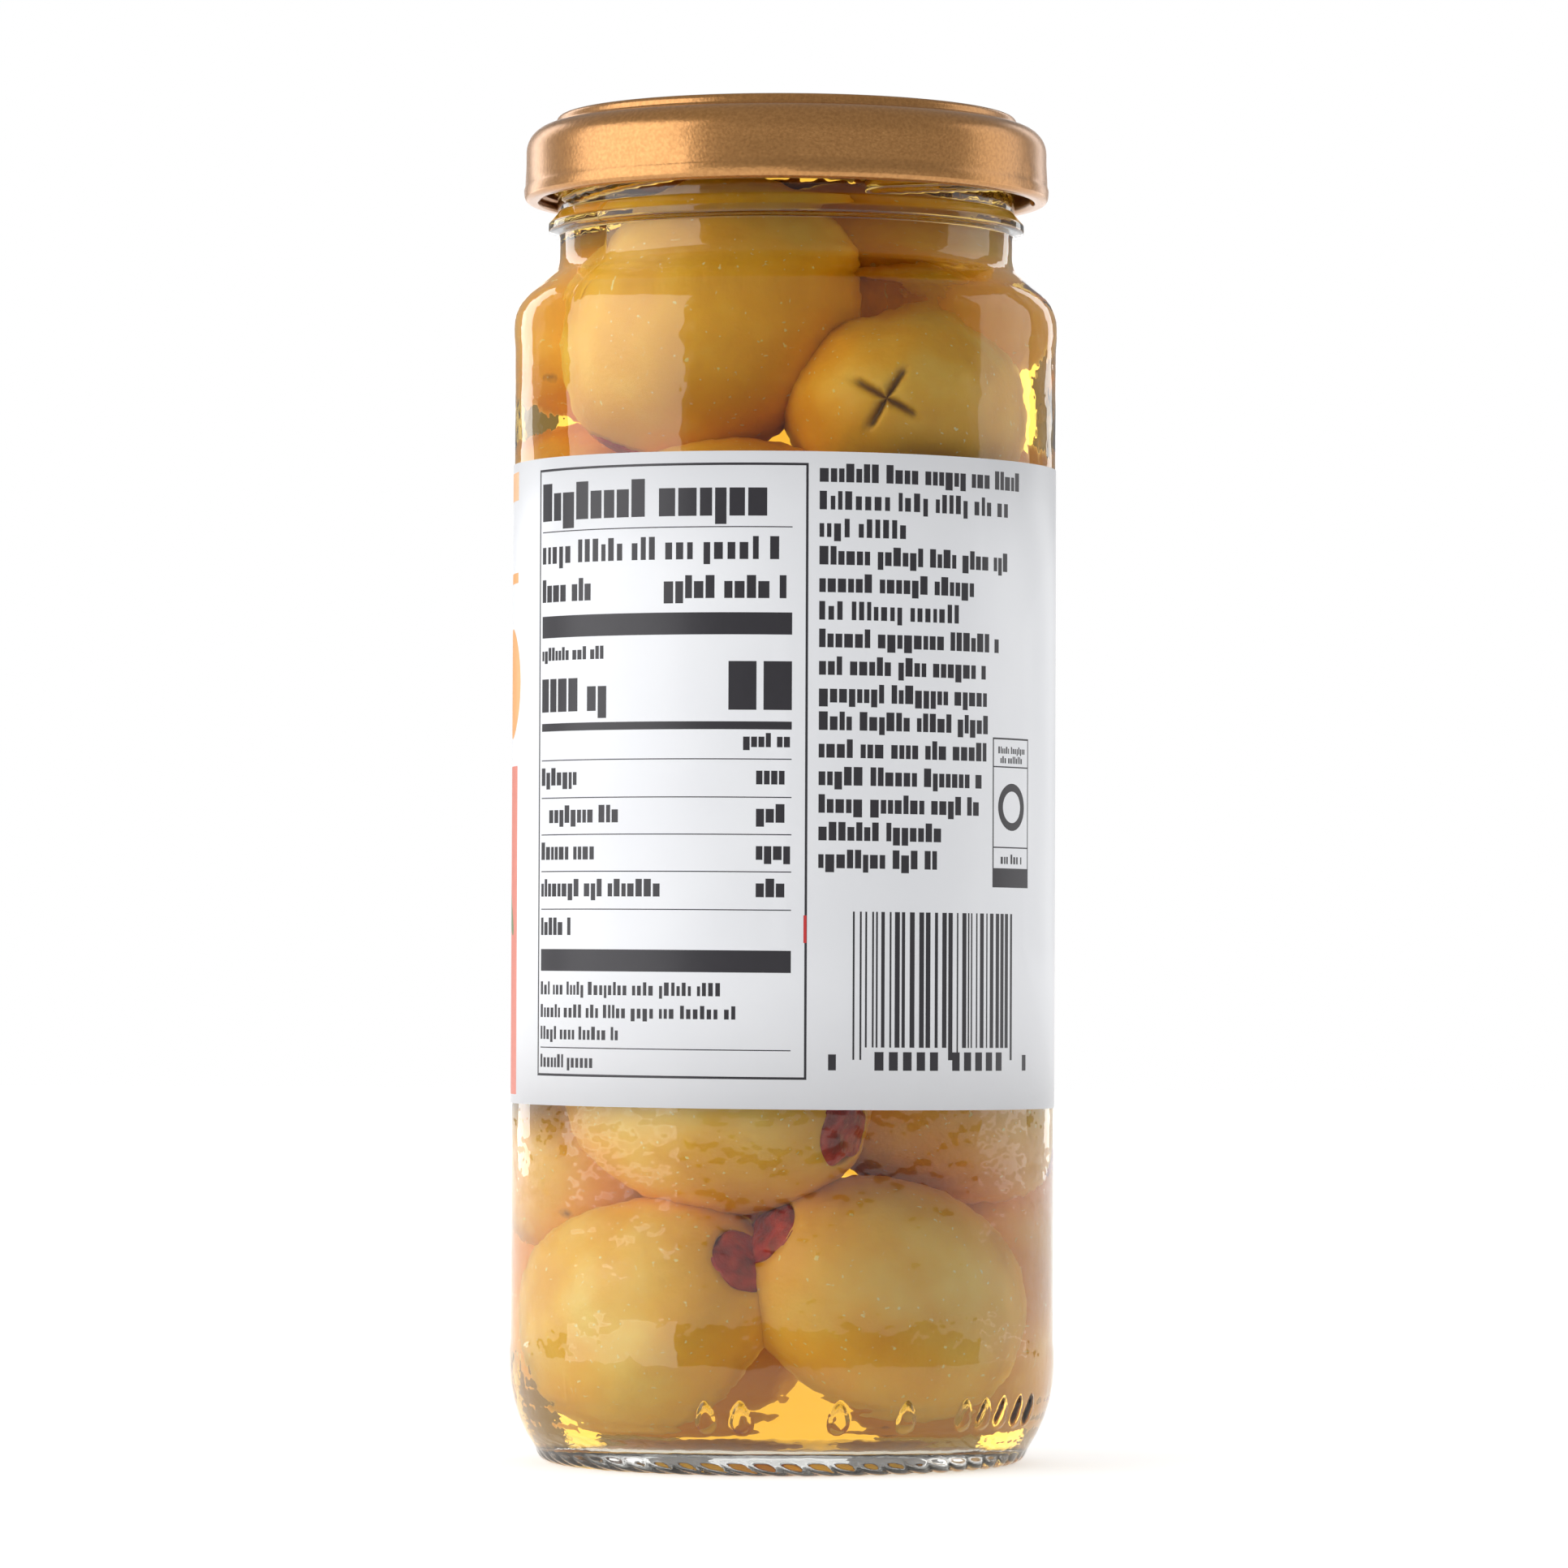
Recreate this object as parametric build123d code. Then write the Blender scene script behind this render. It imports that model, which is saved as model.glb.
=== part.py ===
from build123d import *
import os
from math import atan2, radians, sin, tan

# A jar of olives: a tall straight-sided glass jar with a pressed steel
# twist-off lid, filled with brine and wrapped in one label.
#
# Millimetres. +Z is up, the origin is at the middle of the base, and -Y is
# the front. Azimuths are degrees round the jar: 0 at the front, +90 at +X.

# Glass body
JAR_H = 154.6              # base to rim
BODY_R = 31.6              # recessed panel that carries the label
BAND_PROUD = 0.13          # contact bands that guard the label
BAND_TAPER = 1.4           # height over which a band runs into the panel
LOWER_BAND_TOP = 13.0
UPPER_BAND_H = 3.6         # below the corner where the shoulder starts
WALL_T = 2.3

# Heel and base
HEEL_INSET = 4.0           # foot corner, inside the bands
HEEL_RISE = 5.76           # heel corner, above the bearing ring
HEEL_FILLET = 17.0
FOOT_FILLET = 3.0
BEARING_W = 3.3            # bearing ring, inside the foot corner
BEARING_FILLET = 0.8
PUNT_RISE = 1.9            # hollow under the base
PUNT_INSET = 2.6
PUNT_FILLET = 2.0
FLOOR_T = 2.9              # glass between the punt and the floor
FLOOR_DROP = 1.8           # the floor falls towards the heel
INNER_FOOT_INSET = 3.2
INNER_HEEL_RISE = 4.8
INNER_FOOT_FILLET = 4.0
INNER_HEEL_FILLET = 10.0

# Knurls on the bearing ring, cut off flat where the jar stands
KNURL_COUNT = 58
KNURL_H = 0.4              # bearing ring above the floor
KNURL_R = 1.1
KNURL_LENGTH = 2.6
KNURL_INSET = 1.4          # knurl's middle, inside the foot corner
KNURL_SKEW = 38            # degrees away from radial
KNURL_PITCH_UP = 9         # degrees, outer end up

# Drop-shaped mould dots round the heel
DOT_AZIMUTHS = (-16, -8.5, 12, 27, 42, 48, 54, 60.5, 66)
DOT_Z = 6.2
DOT_R = 1.1
DOT_TAIL = 1.9
DOT_TAIL_R = (1.0, 0.3)    # at the ball and at the tip
DOT_SINK = 0.75            # how far its middle lies under the surface

# Shoulder and neck
SHOULDER_LEAN = 50         # degrees away from upright
SHOULDER_FILLET = 5.0
NECK_FILLET = 3.0
NECK_RELIEF = 0.23         # neck below the bead, inside the thread root
NECK_H = 3.9               # shoulder corner to the bead's underside

# Finish: bead, threads and rim
FINISH_R = 26.7            # thread root
FINISH_WALL = 2.4
BEAD_PROUD = 1.14
BEAD_DROP = 11.7           # bead's underside below the rim
BEAD_UNDERCUT = 0.25
BEAD_LAND = 1.05
BEAD_SLOPE_H = 1.2
BEAD_FILLET = 0.5
BEAD_ROOT_FILLET = 0.3
LIP_FILLET = 1.0
THREAD_COUNT = 4
THREAD_START = -70         # azimuth of the first low end
THREAD_SPAN = 78           # degrees
THREAD_STEPS = 13
THREAD_RISE = 0.044        # per degree
THREAD_START_DROP = 9.1    # underside of the low end, below the rim
THREAD_PROUD = 1.45
THREAD_H = 1.5
THREAD_CREST_H = 0.7
THREAD_END = 0.35          # share of the height left at the blunt ends
THREAD_ROOT_SINK = 0.4

# Lid
LID_T = 0.25               # steel
CURL_CLEARANCE = 0.45      # curl to thread
CURL_W = 1.95
CURL_H = 1.7
CURL_PROUD = 0.15          # curl outside the skirt
CURL_FILLET = 0.7
SKIRT_DROP = 7.8           # bottom of the curl below the rim
CORNER_R = 3.0
CREST_RISE = 1.0           # steel above the rim
COMPOUND_MARGIN = 0.5      # sealing compound wider than the rim
RING_RISE = 1.2            # raised ring above the crest
RING_INSET = 3.5           # raised ring inside the skirt
RING_FILLET = 0.6
RING_FOOT_FILLET = 0.4
RING_LAND = 2.3
PANEL_DROP = 0.7           # centre panel below the raised ring
PANEL_SLOPE_W = 1.0
BUTTON_R = 13.0            # safety button, drawn down by the vacuum
BUTTON_DROP = 0.25
BUTTON_SLOPE_W = 1.2
BUTTON_FILLET = 1.0
LUG_SPAN = 25              # degrees
LUG_AZIMUTH = -11
LUG_GAP = 0.6              # lug to thread root
LUG_CLEARANCE = 0.05       # lug to thread
LUG_OVERLAP = 0.4          # lug into the curl
LUG_FILLET = 0.3

# Brine
HEADSPACE = 5.6            # level below the rim

# Label
LABEL_T = 0.12
LABEL_TOP_MARGIN = 13.6    # label to the end of the panel
LABEL_BOTTOM_MARGIN = 26.9
LABEL_RIGHT_END = 84       # azimuth
LABEL_SPAN = 315           # degrees
LABEL_CORNER = 0.9

# Radii worked out from the above
band_r = BODY_R + BAND_PROUD
inner_r = BODY_R - WALL_T
foot_r = band_r - HEEL_INSET
neck_r = FINISH_R - NECK_RELIEF
mouth_r = FINISH_R - FINISH_WALL
bead_r = FINISH_R + BEAD_PROUD
thread_r = FINISH_R + THREAD_PROUD
curl_inner_r = thread_r + CURL_CLEARANCE
curl_outer_r = curl_inner_r + CURL_W
skirt_r = curl_outer_r - CURL_PROUD
inner_skirt_r = skirt_r - LID_T
raised_r = skirt_r - RING_INSET

# Heights worked out from the above
floor_mid_z = KNURL_H + PUNT_RISE + FLOOR_T
inner_foot_z = floor_mid_z - FLOOR_DROP
bead_z = JAR_H - BEAD_DROP
neck_corner_z = bead_z - NECK_H
thread_start_z = JAR_H - THREAD_START_DROP
lid_bottom_z = JAR_H - SKIRT_DROP
curl_top_z = lid_bottom_z + CURL_H
crest_z = JAR_H + CREST_RISE
raised_z = crest_z + RING_RISE
panel_z = raised_z - PANEL_DROP
button_z = panel_z - BUTTON_DROP


def shoulder_z(radius):
    """Height of the sloping shoulder, carried on as a straight line."""
    return neck_corner_z - (radius - neck_r) / tan(radians(SHOULDER_LEAN))


def inner_shoulder_z(radius):
    """The same line on the inside, a wall's thickness away."""
    return shoulder_z(radius) - WALL_T / sin(radians(SHOULDER_LEAN))


shoulder_corner_z = shoulder_z(band_r)
panel_top_z = shoulder_corner_z - UPPER_BAND_H - BAND_TAPER
panel_bottom_z = LOWER_BAND_TOP + BAND_TAPER


def at_azimuth(azimuth):
    """Turns what is drawn towards +X to a place round the jar."""
    return Rot(0, 0, azimuth - 90)


def section(corners):
    """Face in the XZ plane from (radius, height, corner radius) triples."""
    points = [(radius, height) for radius, height, _ in corners]
    fillets = [fillet for _, _, fillet in corners]
    outline = FilletPolyline(*points, radius=fillets, close=True)
    return Plane.XZ * make_face(outline)


def cavity_corners():
    """The inside of the jar from the middle of the floor up into the neck."""
    return [
        (0, floor_mid_z, 0),
        (inner_r - INNER_FOOT_INSET, inner_foot_z, INNER_FOOT_FILLET),
        (inner_r, inner_foot_z + INNER_HEEL_RISE, INNER_HEEL_FILLET),
        (inner_r, inner_shoulder_z(inner_r), SHOULDER_FILLET - WALL_T),
        (mouth_r, inner_shoulder_z(mouth_r), NECK_FILLET + WALL_T),
    ]


def thread(start):
    """One lug thread: a rising ridge with blunt, faded ends."""
    ridges = []
    for step in range(THREAD_STEPS + 1):
        turned = THREAD_SPAN * step / THREAD_STEPS
        at_end = step in (0, THREAD_STEPS)
        crest = FINISH_R + THREAD_PROUD * (THREAD_END if at_end else 1)
        low = thread_start_z + THREAD_RISE * turned
        slope = (THREAD_H - THREAD_CREST_H) / 2
        ridge = Polyline(
            (FINISH_R - THREAD_ROOT_SINK, low),
            (crest, low + slope),
            (crest, low + slope + THREAD_CREST_H),
            (FINISH_R - THREAD_ROOT_SINK, low + THREAD_H),
            close=True,
        )
        ridges.append(at_azimuth(start + turned) * (Plane.XZ * make_face(ridge)))
    return loft(ridges, ruled=True)


def knurl():
    """One slanted rib under the bearing ring, trimmed flat at the floor."""
    rib = Rot(0, 90, 0) * Cylinder(KNURL_R, KNURL_LENGTH)
    rib = Rot(0, 0, KNURL_SKEW) * (Rot(0, -KNURL_PITCH_UP, 0) * rib)
    end_drop = KNURL_LENGTH / 2 * sin(radians(KNURL_PITCH_UP))
    rib = Pos(foot_r - KNURL_INSET, 0, KNURL_R + end_drop - KNURL_H / 2) * rib
    above_floor = Pos(foot_r, 0, 0) * Box(
        4 * KNURL_LENGTH, 4 * KNURL_LENGTH, 4 * KNURL_R,
        align=(Align.CENTER, Align.CENTER, Align.MIN),
    )
    return rib & above_floor


def heel_radius(height):
    """Outer radius of the heel's large arc at a height."""
    half_turn = atan2(HEEL_INSET, HEEL_RISE) / 2
    arc_top = KNURL_H + HEEL_RISE + HEEL_FILLET * tan(half_turn)
    drop = arc_top - height
    return band_r - HEEL_FILLET + (HEEL_FILLET**2 - drop**2) ** 0.5


def mould_dot():
    """A drop: a ball with a tail that tapers upwards."""
    ball = Sphere(DOT_R)
    tail = Pos(0, 0, DOT_R / 3 + DOT_TAIL / 2) * Cone(*DOT_TAIL_R, DOT_TAIL)
    return Pos(heel_radius(DOT_Z) - DOT_SINK, 0, DOT_Z) * (ball + tail)


def make_jar():
    bead_under_z = bead_z + BEAD_UNDERCUT
    outside = [
        (0, KNURL_H + PUNT_RISE, 0),
        (foot_r - BEARING_W - PUNT_INSET, KNURL_H + PUNT_RISE, PUNT_FILLET),
        (foot_r - BEARING_W, KNURL_H, BEARING_FILLET),
        (foot_r, KNURL_H, FOOT_FILLET),
        (band_r, KNURL_H + HEEL_RISE, HEEL_FILLET),
        (band_r, LOWER_BAND_TOP, 0),
        (BODY_R, panel_bottom_z, 0),
        (BODY_R, panel_top_z, 0),
        (band_r, panel_top_z + BAND_TAPER, 0),
        (band_r, shoulder_corner_z, SHOULDER_FILLET),
        (neck_r, neck_corner_z, NECK_FILLET),
        (neck_r, bead_z, BEAD_ROOT_FILLET),
        (bead_r, bead_under_z, BEAD_FILLET),
        (bead_r, bead_under_z + BEAD_LAND, BEAD_FILLET),
        (FINISH_R, bead_under_z + BEAD_LAND + BEAD_SLOPE_H, BEAD_FILLET),
        (FINISH_R, JAR_H, LIP_FILLET),
        (mouth_r, JAR_H, LIP_FILLET),
    ]
    jar = revolve(section(outside + cavity_corners()[::-1]), Axis.Z)
    for index in range(THREAD_COUNT):
        jar += thread(THREAD_START + index * 360 / THREAD_COUNT)
    jar += [
        at_azimuth(index * 360 / KNURL_COUNT) * knurl()
        for index in range(KNURL_COUNT)
    ]
    jar += [at_azimuth(azimuth) * mould_dot() for azimuth in DOT_AZIMUTHS]
    return jar


def lug():
    """One rounded lug, folded in from the curl to sit under a thread."""
    past_start = (LUG_AZIMUTH - THREAD_START) % (360 / THREAD_COUNT)
    past_start -= LUG_SPAN / 2
    thread_z = thread_start_z + THREAD_RISE * past_start
    inner = FINISH_R + LUG_GAP
    outer = curl_inner_r + LUG_OVERLAP
    top = thread_z - LUG_CLEARANCE
    corners = [
        (inner, lid_bottom_z, LUG_FILLET),
        (outer, lid_bottom_z, 0),
        (outer, top, 0),
        (inner, top, LUG_FILLET),
    ]
    return revolve(section(corners), Axis.Z, revolution_arc=LUG_SPAN)


def make_lid():
    compound_inner_r = mouth_r - COMPOUND_MARGIN
    compound_outer_r = FINISH_R + COMPOUND_MARGIN
    corners = [
        (0, button_z, 0),
        (BUTTON_R, button_z, BUTTON_FILLET),
        (BUTTON_R + BUTTON_SLOPE_W, panel_z, BUTTON_FILLET),
        (raised_r - RING_LAND - PANEL_SLOPE_W, panel_z, RING_FOOT_FILLET),
        (raised_r - RING_LAND, raised_z, RING_FILLET),
        (raised_r, raised_z, RING_FILLET),
        (raised_r, crest_z, RING_FOOT_FILLET),
        (skirt_r, crest_z, CORNER_R),
        (skirt_r, curl_top_z + CURL_PROUD * 2, 0),
        (curl_outer_r, curl_top_z - CURL_PROUD, 0),
        (curl_outer_r, lid_bottom_z, CURL_FILLET),
        (curl_inner_r, lid_bottom_z, CURL_FILLET),
        (curl_inner_r, curl_top_z, CURL_FILLET),
        (inner_skirt_r, curl_top_z, 0),
        (inner_skirt_r, crest_z - LID_T, CORNER_R - LID_T),
        (compound_outer_r, crest_z - LID_T, 0),
        (compound_outer_r, JAR_H, 0),
        (compound_inner_r, JAR_H, 0),
        (compound_inner_r, button_z - LID_T, 0),
        (0, button_z - LID_T, 0),
    ]
    lid = revolve(section(corners), Axis.Z)
    for index in range(THREAD_COUNT):
        start = LUG_AZIMUTH - LUG_SPAN / 2 + index * 360 / THREAD_COUNT
        lid += at_azimuth(start) * lug()
    return lid


def make_brine():
    level = JAR_H - HEADSPACE
    corners = cavity_corners() + [(mouth_r, level, 0), (0, level, 0)]
    return revolve(section(corners), Axis.Z)


def make_label():
    """One strip round the panel with rounded corners and a gap behind."""
    bottom = panel_bottom_z + LABEL_BOTTOM_MARGIN
    top = panel_top_z - LABEL_TOP_MARGIN
    strip = section([
        (BODY_R, bottom, 0),
        (BODY_R + LABEL_T, bottom, 0),
        (BODY_R + LABEL_T, top, 0),
        (BODY_R, top, 0),
    ])
    label = revolve(strip, Axis.Z, revolution_arc=LABEL_SPAN)
    short_edges = label.edges().filter_by(lambda edge: edge.length < 2 * LABEL_T)
    label = fillet(short_edges, LABEL_CORNER)
    return at_azimuth(LABEL_RIGHT_END - LABEL_SPAN) * label


os.makedirs("parts", exist_ok=True)
nodes = {
    "jar": make_jar(),
    "lid": make_lid(),
    "brine": make_brine(),
    "label": make_label(),
}
for name, solid in nodes.items():
    export_step(solid, f"parts/{name}.step")
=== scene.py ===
import math
import bpy
import numpy as np
from mathutils import Matrix, Vector


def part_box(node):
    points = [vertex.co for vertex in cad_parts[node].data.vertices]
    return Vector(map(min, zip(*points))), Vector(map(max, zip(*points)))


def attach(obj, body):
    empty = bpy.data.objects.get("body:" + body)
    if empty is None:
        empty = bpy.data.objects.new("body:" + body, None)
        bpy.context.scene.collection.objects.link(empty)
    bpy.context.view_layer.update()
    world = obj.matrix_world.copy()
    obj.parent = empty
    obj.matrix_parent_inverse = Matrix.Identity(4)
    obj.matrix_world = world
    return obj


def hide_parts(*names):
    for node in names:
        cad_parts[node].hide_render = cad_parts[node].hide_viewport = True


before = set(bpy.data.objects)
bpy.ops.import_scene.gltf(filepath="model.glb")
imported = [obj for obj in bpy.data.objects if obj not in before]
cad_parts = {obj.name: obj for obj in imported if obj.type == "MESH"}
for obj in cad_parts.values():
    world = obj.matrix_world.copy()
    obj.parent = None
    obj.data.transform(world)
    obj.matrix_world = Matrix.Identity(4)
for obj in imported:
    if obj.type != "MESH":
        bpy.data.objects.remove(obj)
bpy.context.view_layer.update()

# Jar of olives. Lengths are millimetres here and become metres when a mesh
# is made. Azimuths are degrees round the jar: 0 at the front (-Y), +90 at +X.

MM = 0.001
RNG = np.random.default_rng(7)

# Sizes read from the frame
JAR_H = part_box("jar")[1].z / MM
BAND_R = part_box("jar")[1].x / MM
LEVEL_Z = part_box("brine")[1].z / MM
INNER_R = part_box("brine")[1].x / MM
LABEL_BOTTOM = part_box("label")[0].z / MM
LABEL_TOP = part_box("label")[1].z / MM
LID_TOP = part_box("lid")[1].z / MM
LID_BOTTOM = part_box("lid")[0].z / MM
CURL_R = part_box("lid")[1].x / MM

# Glass
BODY_R = BAND_R - 0.13
WALL_T = BODY_R - INNER_R
FOOT_R = BAND_R - 4.0
KNURL_H = 0.4
KNURL_COUNT = 58
FLOOR_MID_Z = 5.2
INNER_FOOT_Z = 3.4
NECK_R = 26.47
FINISH_R = 26.7
MOUTH_R = 24.3
BEAD_R = 27.84
BEAD_Z = JAR_H - 11.7
NECK_CORNER_Z = BEAD_Z - 3.9
SHOULDER_LEAN = math.radians(50)
THREAD_START = -70
THREAD_SPAN = 78
THREAD_RISE = 0.044
THREAD_Z = JAR_H - 9.1
THREAD_H = 1.5
THREAD_PROUD = 1.4
DOT_AZIMUTHS = (-16, -8.5, 12, 27, 42, 48, 54, 60.5, 66)
DOT_Z = 6.3
DOT_HALF_W = 1.25
DOT_PROUD = 0.4
SEAM_AZIMUTHS = (-51, 129)

# Label
LABEL_R = BODY_R + 0.115
LABEL_RIGHT = 84
LABEL_SPAN = 315
BACK_PANEL_LEFT = -76.6
LABEL_CORNER = 0.9
LABEL_TILT = 0.18
PRINT_LIFT = 0.004


# ------------------------------------------------------------ shape helpers

def smooth(value):
    value = np.clip(value, 0, 1)
    return value * value * (3 - 2 * value)


def rounded(corners, arc_step=8):
    """Points along straight runs with rounded corners, from (r, z, fillet)."""
    points = [np.array(corners[0][:2], float)]
    for before, here, after in zip(corners, corners[1:], corners[2:]):
        corner, radius = np.array(here[:2], float), here[2]
        if radius == 0:
            points.append(corner)
            continue
        back = np.array(before[:2], float) - corner
        ahead = np.array(after[:2], float) - corner
        back /= np.linalg.norm(back)
        ahead /= np.linalg.norm(ahead)
        half = math.acos(np.clip(back @ ahead, -1, 1)) / 2
        middle = back + ahead
        centre = corner + middle / np.linalg.norm(middle) * radius / math.sin(half)
        start = corner + back * radius / math.tan(half) - centre
        end = corner + ahead * radius / math.tan(half) - centre
        turn = math.pi - 2 * half
        steps = max(2, math.ceil(math.degrees(turn) / arc_step))
        for step in range(steps + 1):
            share = step / steps
            mixed = math.sin((1 - share) * turn) * start + math.sin(share * turn) * end
            points.append(centre + mixed / math.sin(turn))
    points.append(np.array(corners[-1][:2], float))
    return points


def densified(points, spacing):
    """Adds points so that no step is longer than spacing(r, z)."""
    result = [points[0]]
    for here, after in zip(points, points[1:]):
        length = np.linalg.norm(after - here)
        if length < 1e-4:
            continue
        middle = (here + after) / 2
        count = max(1, math.ceil(length / spacing(*middle)))
        for step in range(1, count + 1):
            result.append(here + (after - here) * step / count)
    return np.array(result)


def on_jar(azimuth, radius, z):
    """Coordinates from azimuth in degrees, radius and height."""
    angle = np.radians(azimuth)
    return np.stack([np.sin(angle) * radius, -np.cos(angle) * radius, z + 0 * angle], -1)


def make_mesh(name, points, faces, materials, indices=None):
    mesh = bpy.data.meshes.new(name)
    mesh.from_pydata((np.asarray(points) * MM).tolist(), [], faces)
    for material in materials:
        mesh.materials.append(material)
    if indices is not None:
        mesh.polygons.foreach_set("material_index", np.asarray(indices, np.int32))
    mesh.polygons.foreach_set("use_smooth", np.ones(len(faces), bool))
    mesh.update()
    piece = bpy.data.objects.new(name, mesh)
    bpy.context.scene.collection.objects.link(piece)
    return piece


def lathe(name, profile, azimuths, materials, relief=None, face_material=None):
    """Closed surface of revolution whose first and last points are on the axis."""
    columns = len(azimuths)
    tangent = np.gradient(profile, axis=0)
    tangent /= np.linalg.norm(tangent, axis=1)[:, None]
    normal = np.stack([tangent[:, 1], -tangent[:, 0]], 1)
    inner = profile[1:-1]
    radius = np.repeat(inner[:, :1], columns, 1)
    height = np.repeat(inner[:, 1:], columns, 1)
    angle = np.repeat(np.asarray(azimuths)[None], len(inner), 0)
    if relief:
        raised = relief(radius, height, angle)
        radius = radius + raised * normal[1:-1, :1]
        height = height + raised * normal[1:-1, 1:]
    points = on_jar(angle, radius, height).reshape(-1, 3)
    first, last = len(points), len(points) + 1
    points = np.vstack([points, [0, 0, profile[0, 1]], [0, 0, profile[-1, 1]]])
    faces, indices = [], []
    rows = len(inner)
    for row in range(rows - 1):
        kind = face_material(row) if face_material else 0
        for column in range(columns):
            right = (column + 1) % columns
            low, high = row * columns, (row + 1) * columns
            faces.append((low + column, low + right, high + right, high + column))
            indices.append(kind)
    top = (rows - 1) * columns
    for column in range(columns):
        right = (column + 1) % columns
        faces.append((first, right, column))
        faces.append((last, top + column, top + right))
        indices += [0, face_material(rows - 1) if face_material else 0]
    return make_mesh(name, points, faces, materials, indices)


def joined(name, chunks, materials, shades=None):
    """One mesh from (points, faces) chunks."""
    points, faces, offset = [], [], 0
    for chunk_points, chunk_faces in chunks:
        points.append(chunk_points)
        faces += [tuple(int(i) + offset for i in face) for face in chunk_faces]
        offset += len(chunk_points)
    piece = make_mesh(name, np.vstack(points), faces, materials)
    if shades is not None:
        layer = piece.data.attributes.new("shade", "FLOAT", "POINT")
        layer.data.foreach_set("value", np.concatenate(shades).astype(np.float32))
    return piece


def placed(piece, slot, *nodes):
    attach(piece, "root")
    if nodes:
        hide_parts(*nodes)
    return piece


# ---------------------------------------------------------------- materials

def principled(name, **inputs):
    material = bpy.data.materials.new(name)
    material.use_nodes = True
    shader = material.node_tree.nodes["Principled BSDF"]
    for key, value in inputs.items():
        shader.inputs[key.replace("_", " ").title().replace("Ior", "IOR")].default_value = value
    return material, material.node_tree, shader


def lets_lamps_through(tree, shader, colour):
    """Clear to shadow rays, so that lamps light what is behind the glass."""
    nodes, links = tree.nodes, tree.links
    path = nodes.new("ShaderNodeLightPath")
    clear = nodes.new("ShaderNodeBsdfTransparent")
    clear.inputs["Color"].default_value = colour
    mix = nodes.new("ShaderNodeMixShader")
    links.new(path.outputs["Is Shadow Ray"], mix.inputs["Fac"])
    links.new(shader.outputs[0], mix.inputs[1])
    links.new(clear.outputs[0], mix.inputs[2])
    links.new(mix.outputs[0], nodes["Material Output"].inputs["Surface"])


def noise(tree, scale, detail=3, roughness=0.5):
    """Noise over the object, with scale in features per metre."""
    coordinates = tree.nodes.new("ShaderNodeTexCoord")
    texture = tree.nodes.new("ShaderNodeTexNoise")
    texture.inputs["Scale"].default_value = scale
    texture.inputs["Detail"].default_value = detail
    texture.inputs["Roughness"].default_value = roughness
    tree.links.new(coordinates.outputs["Object"], texture.inputs["Vector"])
    return texture.outputs["Fac"]


def ramp(tree, factor, stops):
    node = tree.nodes.new("ShaderNodeValToRGB")
    elements = node.color_ramp.elements
    while len(elements) < len(stops):
        elements.new(0.5)
    for element, (position, colour) in zip(elements, stops):
        element.position = position
        element.color = (*colour, 1)
    tree.links.new(factor, node.inputs["Fac"])
    return node.outputs["Color"]


def mixed(tree, factor, first, second):
    node = tree.nodes.new("ShaderNodeMix")
    node.data_type = "RGBA"
    for value, socket in ((factor, 0), (first, 6), (second, 7)):
        if isinstance(value, bpy.types.NodeSocket):
            tree.links.new(value, node.inputs[socket])
        else:
            node.inputs[socket].default_value = value
    return node.outputs[2]


def bumped(tree, shader, height, distance, strength=1.0):
    node = tree.nodes.new("ShaderNodeBump")
    node.inputs["Distance"].default_value = distance
    node.inputs["Strength"].default_value = strength
    tree.links.new(height, node.inputs["Height"])
    tree.links.new(node.outputs["Normal"], shader.inputs["Normal"])


def glass_material(name, tint=(1, 1, 1, 1)):
    material, tree, shader = principled(name, roughness=0.0, ior=1.5, specular_tint=tint)
    shader.inputs["Base Color"].default_value = (0.97, 0.985, 0.97, 1)
    shader.inputs["Transmission Weight"].default_value = 1
    bumped(tree, shader, noise(tree, 260, 2), 0.00025, 0.35)
    lets_lamps_through(tree, shader, (0.95, 0.96, 0.95, 1))
    return material


def brine_material():
    material, tree, shader = principled("brine", roughness=0.0, ior=1.36)
    shader.inputs["Specular Tint"].default_value = (0, 0, 0, 1)
    shader.inputs["Base Color"].default_value = (1, 1, 1, 1)
    shader.inputs["Transmission Weight"].default_value = 1
    absorption = tree.nodes.new("ShaderNodeVolumeAbsorption")
    absorption.inputs["Color"].default_value = (0.97, 0.77, 0.04, 1)
    absorption.inputs["Density"].default_value = 62
    lets_lamps_through(tree, shader, (1, 1, 1, 1))
    tree.links.new(absorption.outputs[0], tree.nodes["Material Output"].inputs["Volume"])
    return material


def olive_material():
    material, tree, shader = principled("olive_skin", roughness=0.32, ior=1.45)
    flesh = ramp(tree, noise(tree, 90, 3), [
        (0.30, (0.82, 0.40, 0.02)), (0.52, (0.92, 0.52, 0.05)), (0.75, (0.96, 0.66, 0.15))])
    specks = ramp(tree, noise(tree, 1500, 1), [(0.70, (0, 0, 0)), (0.76, (1, 1, 1))])
    flecked = mixed(tree, specks, flesh, (0.92, 0.78, 0.42, 1))
    # The "shade" attribute darkens the skin towards dark brown: painted shade round the pimento hole and
    # in the cut cross, together with the bottom scar's own dark colour.
    shade = tree.nodes.new("ShaderNodeAttribute")
    shade.attribute_name = "shade"
    colour = mixed(tree, shade.outputs["Fac"], flecked, (0.20, 0.085, 0.02, 1))
    tree.links.new(colour, shader.inputs["Base Color"])
    shader.inputs["Subsurface Weight"].default_value = 0.25
    shader.inputs["Subsurface Radius"].default_value = (1.0, 0.6, 0.15)
    shader.inputs["Subsurface Scale"].default_value = 0.003
    bumped(tree, shader, noise(tree, 700, 3), 0.0002, 0.5)
    return material


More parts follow.
